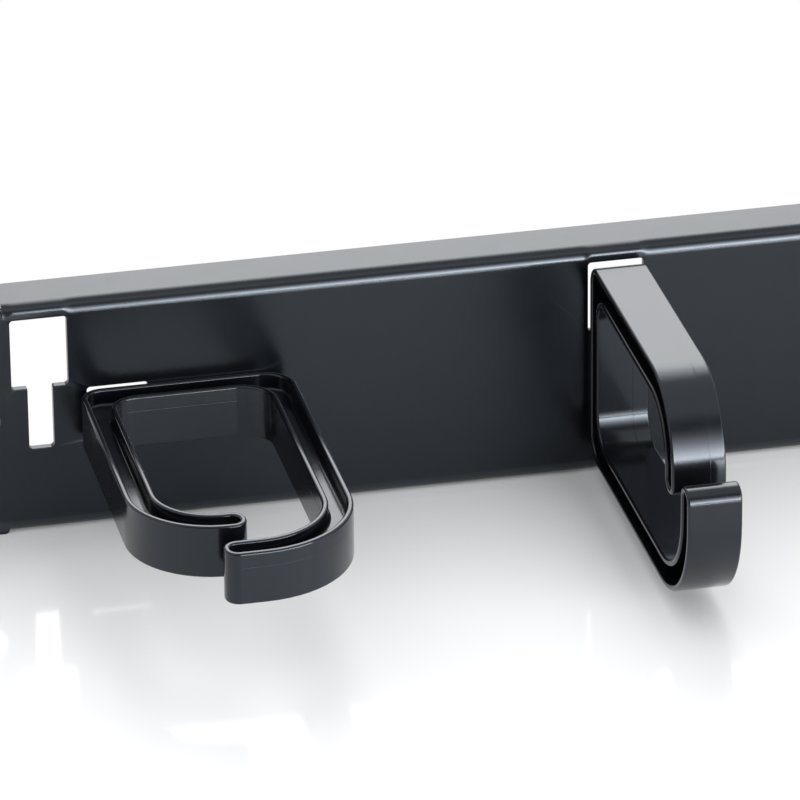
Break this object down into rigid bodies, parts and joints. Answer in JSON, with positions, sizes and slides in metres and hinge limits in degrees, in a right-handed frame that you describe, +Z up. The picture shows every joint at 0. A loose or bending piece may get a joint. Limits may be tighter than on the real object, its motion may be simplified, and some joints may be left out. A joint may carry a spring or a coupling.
{
  "type": "cable management panel",
  "caption": "Folded steel rack panel, one unit high, with moulded plastic cable rings in key slots, upright along the face and level at the ends, open at the front for cables.",
  "frame": {"origin": "centre between the two rack slots, on the rear face of the sheet that meets the rack rails", "axes": "+X along the panel to the right seen from the front, +Y to the rear into the rack, +Z up"},
  "size_m": [0.4826, 0.0805, 0.044],
  "materials": {
    "panel_paint": "satin black powder coat",
    "ring_plastic": "semi-gloss black"
  },
  "bodies": {
    "root": {"panel": "panel_paint", "left_level_ring": "ring_plastic", "left_upright_ring": "ring_plastic", "middle_upright_ring": "ring_plastic", "right_upright_ring": "ring_plastic", "right_level_ring": "ring_plastic"}
  },
  "joints": []
}
